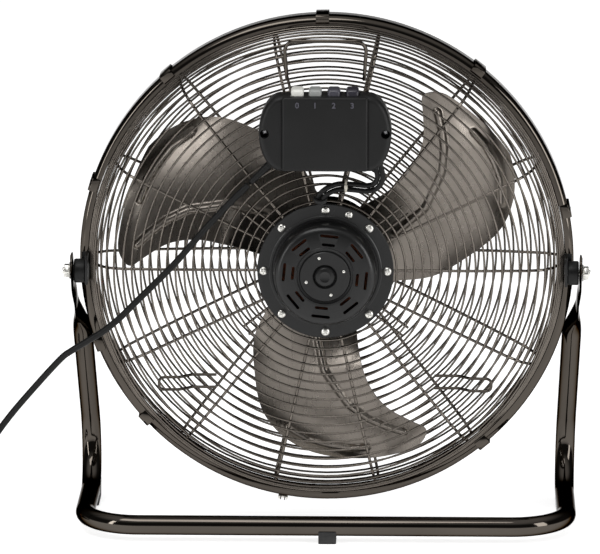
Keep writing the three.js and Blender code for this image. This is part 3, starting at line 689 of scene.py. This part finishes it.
def buildPivots():
    sideways = Vector((1, 0, 0))
    centre = Vector((0, pivotCentre.y, pivotCentre.z))
    drop = (pivotCentre.z - fanCentre.z) / mm
    inner = pivot["bracketX"]
    outer = inner + pivot["bracketWall"]
    behind = (fanCentre.y - pivotCentre.y) / mm
    low, high = drop - pivot["spacerRadius"], drop + pivot["above"]
    web = headBox(inner, outer, hoop["rear"] + 0.3, behind + pivot["spacerRadius"], low, high)
    flange = headBox(inner + 0.4, pivot["flangeX"], hoop["rear"] + 0.3, hoop["rear"] + 1.3, low, high)
    bracket = joinPieces([web, flange])
    roundEdges(bracket, 0.4, 3)
    flat = stand["pressedX"] - stand["pressedWall"] / 2
    spacer = spunPiece([(4.2, outer + 0.3), (11.2, outer + 0.3), (12.2, outer + 0.9), (12.5, outer + 2),
                        (12.5, flat - 2.2), (12.2, flat - 1.1), (11.4, flat - 0.4), (4.2, flat - 0.4),
                        (4.2, outer + 0.3)], centre, sideways, 56)
    nutStart = stand["pressedX"] + stand["pressedWall"] / 2 + 0.3
    washer = spunPiece([(4.2, nutStart), (8.6, nutStart), (8.8, nutStart + 0.3), (8.8, nutStart + 0.9),
                        (8.5, nutStart + 1.1), (4.2, nutStart + 1.1), (4.2, nutStart)], centre, sideways, 40)
    clearSelection()
    bpy.ops.mesh.primitive_cylinder_add(vertices=6, radius=pivot["nutRadius"] * mm, depth=5.4 * mm,
                                        location=centre + sideways * (nutStart + 3.7) * mm,
                                        rotation=(0, math.pi / 2, 0))
    nut = bpy.context.object
    bpy.ops.object.transform_apply(location=True, rotation=True, scale=True)
    roundEdges(nut, 0.7, 3)
    thread = [(0, inner + 0.4), (3.3, inner + 0.4)]
    along = nutStart + 5
    while along < pivot["studEnd"] - 1.2:
        thread += [(3.9, along), (3.45, along + 0.5)]
        along += 1.0
    thread += [(3.4, pivot["studEnd"] - 0.8), (2.9, pivot["studEnd"]), (0, pivot["studEnd"])]
    stud = spunPiece(thread, centre, sideways, 24)
    bolt = joinPieces([washer, nut, stud])
    pieces = [(bracket, "pivotBracket", "black_paint", "pivot_bracket"),
              (spacer, "pivotSpacer", "black_plastic", "pivot_spacer"),
              (bolt, "pivotBolt", "zinc_fastener", "pivot_bolt")]
    for piece, name, finish, node in pieces:
        twin = copyOf(piece, mirroredAcross())
        install(piece, name + "_right", finish, "head", [node + "_right"])
        install(twin, name + "_left", finish, "head", [node + "_left"])


buildPivots()
print("pivots made")


motor = {"plateRadius": 70, "plateBack": 79.2, "screwCircle": 63.5, "headRadius": 4.5, "bellRadius": 52.6,
         "bellBack": 106.5, "ventOuter": 42, "ventInner": 33, "ventStart": 84}


def screwHead(centre, radius, height, finish, name, body, replaced=(), turn=0.0):
    head = spunPiece([(0, height), (radius * 0.45, height * 0.94), (radius * 0.8, height * 0.72),
                      (radius * 0.97, height * 0.36), (radius, 0), (radius * 0.4, -0.05), (0, -0.05)],
                     centre, rearward, 28)
    reach = radius * 0.58
    for degrees in (turn, turn + 90):
        slot = boxPiece((-reach * mm, -(height + 1) * mm, -0.45 * mm),
                        (reach * mm, -height * 0.4 * mm, 0.45 * mm))
        slot.data.transform(Matrix.Translation(centre) @ Matrix.Rotation(math.radians(degrees), 4, "Y"))
        cutAway(head, [slot])
    return install(head, name, finish, body, replaced)


def buildMotorPlate():
    edge, face = motor["plateRadius"], motor["plateBack"]
    plate = spunPiece([(49, face - 1.7), (edge - 0.6, face - 1.7), (edge, face - 1.2), (edge, face - 0.5),
                       (edge - 0.6, face), (58, face), (57.2, face + 0.5), (55, face + 0.5), (54.4, face),
                       (49, face), (49, face - 1.7)], fanCentre, rearward, 96)
    install(plate, "motorPlate", "black_paint", "head", ["motor_plate"], 30)
    for k in range(8):
        degrees = -45 * k
        spot = polarPoint(motor["screwCircle"], degrees, face + 0.15)
        number = (8 - k) % 8 + 1
        screwHead(spot, motor["headRadius"], 2.6, "zinc_fastener", f"plateScrew_{number}", "head",
                  [f"plate_screw_{number}"], 23 * k)
    earthSpot = polarPoint(motor["screwCircle"], 68, face + 0.15)
    screwHead(earthSpot, 4.2, 2.4, "zinc_fastener", "earthScrew", "head", (), 12)


# A vent slot's cutter is a short bar with rounded edges, laid square to its radius.
def ventCutter(radius, length, width, degrees, depth0, depth1):
    clearSelection()
    bpy.ops.mesh.primitive_cube_add(size=1, scale=(length * mm, (depth1 - depth0) * mm, width * mm))
    cutter = bpy.context.object
    bpy.ops.object.transform_apply(location=False, rotation=False, scale=True)
    roundEdges(cutter, width * 0.45, 3, 30)
    middle = polarPoint(radius, degrees, (depth0 + depth1) / 2)
    cutter.data.transform(Matrix.Translation(middle) @ Matrix.Rotation(math.radians(90 - degrees), 4, "Y"))
    return cutter


def buildRearBell():
    r, b = motor["bellRadius"], motor["bellBack"]
    profile = [(r, 79.4), (r, b - 9), (r - 0.5, b - 6), (r - 2, b - 3.2), (r - 4.4, b - 1.2), (r - 7.5, b),
               (30.4, b + 0.6), (29.6, b + 1.5), (28.8, b + 1.5), (28.2, b - 0.6), (26.6, b - 0.9),
               (25.8, b + 0.8), (25, b + 1.4), (12.6, b + 1.5), (11.8, b + 0.6), (11, b - 0.2),
               (10.4, b + 0.6), (9.8, b + 2.4), (8.8, b + 3.3), (5.6, b + 3.9), (4.6, b + 3.4),
               (0, b + 3.5), (0, b - 2.4), (r - 9, b - 2.2), (r - 4.4, b - 4.4), (r - 2.2, b - 9),
               (r - 2.2, 79.4), (r, 79.4)]
    bell = spunPiece(profile, fanCentre, rearward, 112)
    cutters = []
    for k in range(8):
        degrees = motor["ventStart"] + 45 * k
        cutters.append(ventCutter(motor["ventOuter"], 19, 3, degrees, b - 6, b + 4))
        cutters.append(ventCutter(motor["ventInner"], 13.5, 3, degrees, b - 6, b + 4))
    cutAway(bell, cutters)
    install(bell, "motorRearBell", "black_paint", "head", ["motor_rear_bell"], 30)
    for k, degrees in enumerate((107, 16, -72, 197)):
        head = spunPiece([(0, 0.9), (1.0, 0.8), (1.5, 0.4), (1.7, 0), (0, -0.1)],
                         polarPoint(20, degrees, b + 1.5), rearward, 16)
        install(head, f"bellBolt_{k + 1}", "zinc_fastener", "head")


def buildFrontBell():
    ribs = []
    profile = [(5, 22), (12, 22), (14, 23.4), (26, 23.4), (28, 22), (43, 22), (48, 23.6), (51, 27),
               (52, 31), (52, 71.6), (68.4, 71.6), (69, 72.2), (69, 73.3), (68.4, 73.9), (52, 73.9),
               (52, 77.2), (49.6, 77.2), (49.6, 31), (46, 26), (43, 24.6), (5, 24.2), (5, 22)]
    bell = spunPiece(profile, fanCentre, rearward, 72)
    for k in range(10):
        ribs.append(ventCutter(36, 11, 3, 36 * k + 9, 19, 27))
    cutAway(bell, ribs)
    install(bell, "motorFrontBell", "black_paint", "head", ["motor_front_bell"], 30)


buildMotorPlate()
buildRearBell()
buildFrontBell()
print("motor made")


wheel = {"blades": 3, "wall": 1.3, "tipAcross": 0.17, "tipDepth": 0.2, "ribHeight": 4.2, "ribFlat": 1.3,
         "ribHalf": 4.2, "rows": 124, "columns": 104}
leadingEdge = [(44, 62), (68, 56), (94, 50.5), (128, 49), (160, 52), (185, 57.5), (203, 61), (216, 59)]
trailingEdge = [(44, -40), (68, -22), (114, -11), (147, -1), (181, 8), (200, 16), (211, 23.5), (216, 29)]
longRib = [(77, 21.6), (116, 29), (153, 39), (171, 45), (184, 50), (196, 54.5)]
tipRib = [(203, 42), (203, 36.5), (201, 31), (198, 24.5), (190, 17)]


def edgePoint(edge, share):
    place = share * (len(edge) - 1)
    k = min(int(place), len(edge) - 2)
    return curveSpot([Vector(point) for point in edge], k, place - k)


def flatSpot(radius, degrees):
    angle = math.radians(degrees)
    return Vector((radius * math.cos(angle), radius * math.sin(angle)))


def ribRise(spot, rib):
    nearest = 1e9
    for start, end in zip(rib, rib[1:]):
        run = end - start
        share = min(max((spot - start).dot(run) / run.length_squared, 0), 1)
        nearest = min(nearest, (start + run * share - spot).length)
    return 1 - ease(nearest, wheel["ribFlat"], wheel["ribHalf"])


# The corner where the leading edge meets the tip is rounded off.
def roundedTip(across, outward):
    side = 1 - across / wheel["tipAcross"]
    rise = 1 - (1 - outward) / wheel["tipDepth"]
    if side > 0 and rise > 0:
        pull = max(side, rise) / math.hypot(side, rise)
        across = (1 - side * pull) * wheel["tipAcross"]
        outward = 1 - (1 - rise * pull) * wheel["tipDepth"]
    return across, outward


def buildBlades():
    rows, columns = wheel["rows"], wheel["columns"]
    ribs = [[flatSpot(r, a) for r, a in rib] for rib in (longRib, tipRib)]
    clearSelection()
    bpy.ops.mesh.primitive_grid_add(x_subdivisions=columns, y_subdivisions=rows, size=1)
    first = bpy.context.object
    for vertex in first.data.vertices:
        across, outward = roundedTip(vertex.co.x + 0.5, vertex.co.y + 0.5)
        front, rear = edgePoint(leadingEdge, outward), edgePoint(trailingEdge, outward)
        radius = front.x + (rear.x - front.x) * across
        degrees = front.y + (rear.y - front.y) * across
        lift = ease(front.x, 46, 120)
        camber = 7 * math.sin(math.pi * across) * lift
        back = 13 + lift * (32 - 59 * across) + camber
        spot = flatSpot(radius, degrees)
        back += wheel["ribHeight"] * max(ribRise(spot, rib) for rib in ribs) * ease(outward, 0.02, 0.2)
        vertex.co = headPoint(spot.x, back, spot.y)
    applyModifier(first, "SOLIDIFY", thickness=wheel["wall"] * mm, offset=0)
    takeUp(first)
    editMesh()
    closeMesh()
    for k in range(wheel["blades"]):
        blade = copyOf(first, turnedAbout(fanCentre, "Y", -120 * k))
        install(blade, f"blade_{k + 1}_sheet", "blade_metal", "fan_wheel", [f"blade_{k + 1}"], 60)
        for rivet, degrees in enumerate((-20, 12, 44)):
            spot = polarPoint(49.5, degrees + 120 * k, 0)
            head = spunPiece([(0, 16.2), (1.6, 15.8), (2.8, 14.6), (3, 13.4), (3, 6.6), (2.2, 5.6),
                              (0, 5.3)], spot, rearward, 16)
            install(head, f"bladeRivet_{k + 1}_{rivet + 1}", "zinc_fastener", "fan_wheel")
    bpy.data.objects.remove(first)


def buildHub():
    hub = spunPiece([(4.3, -6), (12.4, -6), (13, -5.4), (13, 6), (14.5, 7.4), (20, 7.4), (23, 8.6),
                     (38, 8.6), (41, 7.4), (53.4, 7.4), (54, 8), (54, 9.4), (53.4, 10), (42, 10),
                     (39, 11.2), (22, 11.2), (19, 10), (14, 10.4), (14, 18), (4.3, 18), (4.3, -6)],
                    fanCentre, rearward, 72)
    install(hub, "bladeHub", "blade_metal", "fan_wheel", ["blade_hub"], 30)
    nut = spunPiece([(0, -16.4), (4, -16.3), (6.6, -15.6), (8.4, -13.8), (9, -11.8), (9, -6.4), (4.4, -6.4),
                     (4.4, -14.2), (0, -14.2)], fanCentre, rearward, 48)
    grooves = []
    for k in range(10):
        spot = polarPoint(9.6, 36 * k, -10)
        grooves.append(boxPiece(spot - Vector((0.9, 7, 0.9)) * mm, spot + Vector((0.9, 7, 0.9)) * mm))
    cutAway(nut, grooves)
    install(nut, "hubNut", "black_plastic", "fan_wheel", ["hub_nut"], 30)


def buildBadge():
    badge = spunPiece([(0, -44.4), (18, -44.2), (34, -43.4), (35, -42.8), (36, -43.2), (48, -41.9),
                       (52, -41.2), (54.4, -40.2), (55, -39.7), (53, -39.6), (0, -39.6)],
                      fanCentre, rearward, 96)
    install(badge, "frontBadge", "gunmetal_chrome", "head", ["front_badge"], 30)


buildBlades()
buildHub()
buildBadge()
print("fan wheel made")


switchBox = {"bottom": 109.5, "top": 187.5, "flat": 44, "end": 23.5, "seam": 83.5, "front": 80.5,
             "back": 112, "edge": 6.5, "screwX": 61.5, "panelBack": 114.6, "digitUp": 178.6,
             "keyCentres": (-28.2, -10.1, 8.9, 27.7), "keyWidth": 13, "keyFront": 88, "keyBack": 107,
             "keyBottom": 171.5, "keyTop": 194.6}


# A capsule outline from a circle: each half is moved out to leave a flat run between them.
def capsule(back0, back1, inset=0.0):
    middle = (switchBox["bottom"] + switchBox["top"]) / 2
    half = (switchBox["top"] - switchBox["bottom"]) / 2
    clearSelection()
    bpy.ops.mesh.primitive_circle_add(vertices=64, radius=half * mm, fill_type="NGON",
                                      location=headPoint(0, back0, middle), rotation=(math.pi / 2, 0, 0))
    outline = bpy.context.object
    bpy.ops.object.transform_apply(location=True, rotation=True, scale=True)
    for vertex in outline.data.vertices:
        side = 1 if vertex.co.x > 0 else -1
        if abs(vertex.co.x) < 1e-6:
            side = 1 if vertex.co.z > fanCentre.z + middle * mm else -1
        reach = abs(vertex.co.x) / (half * mm) * (switchBox["end"] - inset) * mm
        vertex.co.x = side * (reach + switchBox["flat"] * mm)
        centreZ = fanCentre.z + middle * mm
        vertex.co.z = centreZ + (vertex.co.z - centreZ) * (half - inset) / half
    editMesh()
    bpy.ops.mesh.extrude_region_move(TRANSFORM_OT_translate={"value": (0, -(back1 - back0) * mm, 0)})
    bpy.ops.mesh.select_all(action="SELECT")
    return closeMesh()


def buildCover():
    cover = capsule(switchBox["seam"], switchBox["back"])
    takeUp(cover)
    rearY = headPoint(0, switchBox["back"], 0).y
    editMesh("DESELECT")
    bpy.ops.object.mode_set(mode="OBJECT")
    for edge in cover.data.edges:
        ends = [cover.data.vertices[k].co.y for k in edge.vertices]
        edge.select = all(abs(y - rearY) < 1e-6 for y in ends)
    bpy.ops.object.mode_set(mode="EDIT")
    bpy.ops.mesh.select_mode(type="EDGE")
    bpy.ops.mesh.bevel(offset=switchBox["edge"] * mm, segments=7, affect="EDGES")
    bpy.ops.mesh.select_mode(type="VERT")
    bpy.ops.object.mode_set(mode="OBJECT")
    flat, bottom, top = switchBox["flat"], switchBox["bottom"], switchBox["top"]
    middle = (bottom + top) / 2
    panel = headBox(-flat + 0.4, flat - 0.4, 90, switchBox["panelBack"], bottom + 0.8, top - 0.8, 2.6, 5)
    applyModifier(cover, "BOOLEAN", operation="UNION", object=panel, solver="EXACT")
    bpy.data.objects.remove(panel)
    tools = []
    for x in switchBox["keyCentres"]:
        half = switchBox["keyWidth"] / 2 + 0.6
        tools.append(headBox(x - half, x + half, switchBox["keyFront"] - 0.6, switchBox["keyBack"] + 0.6,
                             top - 9, top + 4))
    for side in (-1, 1):
        wellCentre = headPoint(side * switchBox["screwX"], 0, middle)
        tools.append(spunPiece([(0, 98), (4.6, 98), (4.6, 116), (0, 116)], wellCentre, rearward, 32))
        tools.append(headBox(side * 44.2 - 0.35, side * 44.2 + 0.35, 110.6, 116, bottom - 1, top + 1))
    for tool in tools:
        cutAway(cover, [tool])
    install(cover, "switchBoxCover", "black_plastic", "head", ["switch_box_cover"], 30)
    for side, name in ((-1, "left"), (1, "right")):
        screwHead(headPoint(side * switchBox["screwX"], 99, middle), 3.4, 2.0, "bare_steel",
                  "coverScrew_" + name, "head", (), 30)
    base = capsule(switchBox["front"], switchBox["seam"] - 0.3, 0.5)
    roundEdges(base, 0.6, 2)
    install(base, "switchBoxBase", "black_plastic", "head", ["switch_box_base"], 30)


def buildKeys():
    keyFinishes = ("key_white", "key_grey", "key_slate", "key_navy")
    for k, (x, finish) in enumerate(zip(switchBox["keyCentres"], keyFinishes)):
        half = switchBox["keyWidth"] / 2
        key = headBox(x - half, x + half, switchBox["keyFront"], switchBox["keyBack"],
                      switchBox["keyBottom"], switchBox["keyTop"])
        corner = headPoint(0, switchBox["keyBack"], switchBox["keyTop"])
        shiftCorners(key, lambda co: co.z > corner.z - mm and co.y < corner.y + mm, (0, 1.5, -1.6))
        roundEdges(key, 3.0, 5)
        install(key, f"pianoKey_{k}", finish, f"key_body_{k}", [f"key_{k}"], 40)
        clearSelection()
        digitSpot = headPoint(x, switchBox["panelBack"] - 0.15, switchBox["digitUp"] - 2.6)
        bpy.ops.object.text_add(location=digitSpot, rotation=(math.pi / 2, 0, 0))
        digit = bpy.context.object
        digit.data.body = str(k)
        digit.data.size = 8 * mm
        digit.data.align_x = "CENTER"
        digit.data.extrude = 0.6 * mm
        digit.data.bevel_depth = 0.2 * mm
        bpy.ops.object.convert(target="MESH")
        # The digits are the box's own black plastic in reality; here they take the lighter slate finish, a
        # painted highlight that stands in for the light caught on their raised edges.
        install(digit, f"digit_{k}", "key_slate", "head", (), 30)


buildCover()
buildKeys()
print("switch box made")


fittings = {"handleWire": 1.9, "hookWire": 1.5, "leadRadius": 2.7, "leadGap": 2.75}


def buildHandle():
    corners = [headPoint(*p) for p in ((-39.3, 80.7, 199), (-40, 83.2, 211), (-42, 91, 240.8),
                                       (42, 91, 240.8), (40, 83.2, 211), (39.3, 80.7, 199))]
    handle = wirePiece(bentPath(corners, 11, 10), fittings["handleWire"], 4)
    install(handle, "carryHandle", "gunmetal_chrome", "head", ["carry_handle"], 60)


def buildHooks():
    corners = [(112, 81, -109), (137, 81, -109), (149, 93, -109), (170.5, 94.6, -109),
               (170.5, 94.6, -122), (149, 93, -122), (137, 81, -122), (112, 81, -122)]
    for name, side in (("left", -1), ("right", 1)):
        points = [headPoint(side * x, back, up) for x, back, up in corners]
        hook = wirePiece(bentPath(points, 5, 6), fittings["hookWire"], 3)
        install(hook, "cordHook_" + name, "gunmetal_chrome", "head", ["cord_hook_" + name], 60)


def buildMotorLeads():
    route = [(53, 95, 114.6), (55.6, 94, 105), (55.4, 92, 97.5), (51, 90, 91), (42, 89, 88.6),
             (28, 88, 89.6), (14, 88, 90), (3, 88, 86), (-4, 86, 79.6), (-5, 82, 75)]
    tubes = []
    for side in (-1, 1):
        line = []
        for k, (x, back, up) in enumerate(route):
            x0, _, u0 = route[max(k - 1, 0)]
            x1, _, u1 = route[min(k + 1, len(route) - 1)]
            run = math.hypot(x1 - x0, u1 - u0)
            shift = side * fittings["leadGap"]
            line.append(headPoint(x - (u1 - u0) / run * shift, back + side * 0.5,
                                  up + (x1 - x0) / run * shift))
        tubes.append(wirePiece(smoothLine(line, 6), fittings["leadRadius"], 3))
    install(joinPieces(tubes), "motorLeads", "cord_jacket", "head", ["motor_lead"], 60)
    tie = spunPiece([(5.7, -1.2), (6.3, -1.2), (6.3, 1.2), (5.7, 1.2), (5.7, -1.2)],
                    headPoint(21, 88, 90.6), Vector((1, 0, 0)), 32)
    lock = headBox(19.4, 22.8, 92.4, 96, 88.6, 92.8, 0.5, 2)
    install(joinPieces([tie, lock]), "cableTie", "inner_plastic", "head")
    grommet = spunPiece([(4.4, -2), (6.6, -2), (6.8, -1), (5.8, 0), (6.8, 1), (6.6, 2), (4.4, 2), (4.4, -2)],
                        headPoint(-5, 82.5, 75.5), Vector((0, -0.5, 1)).normalized(), 32)
    install(grommet, "leadGrommet", "rubber_black", "head")


buildHandle()
buildHooks()
buildMotorLeads()
print("fittings made")


# Inside pieces keep their frame shapes and take their finishes.
insideFinish = {"stator": "copper_winding", "rotor_core": "bare_steel", "motor_shaft": "bare_steel",
                "bearing_rear": "bare_steel", "bearing_front": "bare_steel", "switch_block": "inner_plastic",
                "capacitor": "inner_plastic"}
for node, finish in insideFinish.items():
    piece = frame["nodes"][node]
    piece.data.materials.clear()
    piece.data.materials.append(finishes[finish])


studio = {"floorSize": 30, "floorColour": (0.8, 0.8, 0.8), "nearGlow": 0.48, "farGlow": 0.80,
          "glowFrom": -1.1, "glowTo": 0.0,
          "ceiling": 0.65, "horizon": 0.9, "around": 0.05}


# The floor glows a little more beyond the object than in front of it.
def buildFloor():
    clearSelection()
    bpy.ops.mesh.primitive_plane_add(size=studio["floorSize"], location=(0, 0, 0))
    floor = bpy.context.object
    floor.name = "studioFloor"
    material = bpy.data.materials.new("studioFloor")
    material.use_nodes = True
    nodes, links = material.node_tree.nodes, material.node_tree.links
    shader = nodes["Principled BSDF"]
    setSockets(shader, {"Base Color": (*studio["floorColour"], 1), "Roughness": 0.9,
                        "Specular IOR Level": 0.1, "Emission Color": (1, 1, 1, 1)})
    coords = nodes.new("ShaderNodeTexCoord")
    split = nodes.new("ShaderNodeSeparateXYZ")
    glow = rangeNode(nodes, studio["nearGlow"], studio["farGlow"], studio["glowFrom"], studio["glowTo"],
                     "SMOOTHSTEP")
    links.new(coords.outputs["Object"], split.inputs["Vector"])
    links.new(split.outputs["Y"], glow.inputs["Value"])
    links.new(glow.outputs["Result"], shader.inputs["Emission Strength"])
    floor.data.materials.append(material)


# The surroundings are light overhead and in a thin band at the horizon, and dark between.
def buildWorld():
    world = bpy.data.worlds.new("studioWorld")
    bpy.context.scene.world = world
    world.use_nodes = True
    nodes, links = world.node_tree.nodes, world.node_tree.links
    coords = nodes.new("ShaderNodeTexCoord")
    split = nodes.new("ShaderNodeSeparateXYZ")
    links.new(coords.outputs["Generated"], split.inputs["Vector"])
    ranges = []
    for low, high, start, end in ((0.5, 0.95, studio["around"], studio["ceiling"]),
                                  (0.02, 0.09, studio["horizon"], 0)):
        level = rangeNode(nodes, start, end, low, high, "SMOOTHSTEP")
        links.new(split.outputs["Z"], level.inputs["Value"])
        ranges.append(level)
    brighter = nodes.new("ShaderNodeMath")
    brighter.operation = "MAXIMUM"
    links.new(ranges[0].outputs["Result"], brighter.inputs[0])
    links.new(ranges[1].outputs["Result"], brighter.inputs[1])
    links.new(brighter.outputs["Value"], nodes["Background"].inputs["Color"])


def areaLight(name, place, target, size, power):
    clearSelection()
    bpy.ops.object.light_add(type="AREA", location=place)
    light = bpy.context.object
    light.name = name
    light.data.shape = "RECTANGLE"
    light.data.size, light.data.size_y = size
    light.data.energy = power
    aim = Vector(target) - Vector(place)
    light.rotation_euler = aim.to_track_quat("-Z", "Y").to_euler()


buildFloor()
buildWorld()
areaLight("leftStrip", (-2.0, -1.5, 0.9), (0, 0, 0.28), (0.3, 1.6), 13)
areaLight("rightSoftbox", (2.1, -1.3, 0.9), (0, 0, 0.28), (0.8, 1.6), 22)
areaLight("topSoftbox", (-0.5, -1.0, 2.4), (0, 0, 0.25), (1.6, 1.0), 20)
bpy.context.scene.view_settings.view_transform = "Standard"
print("studio made")
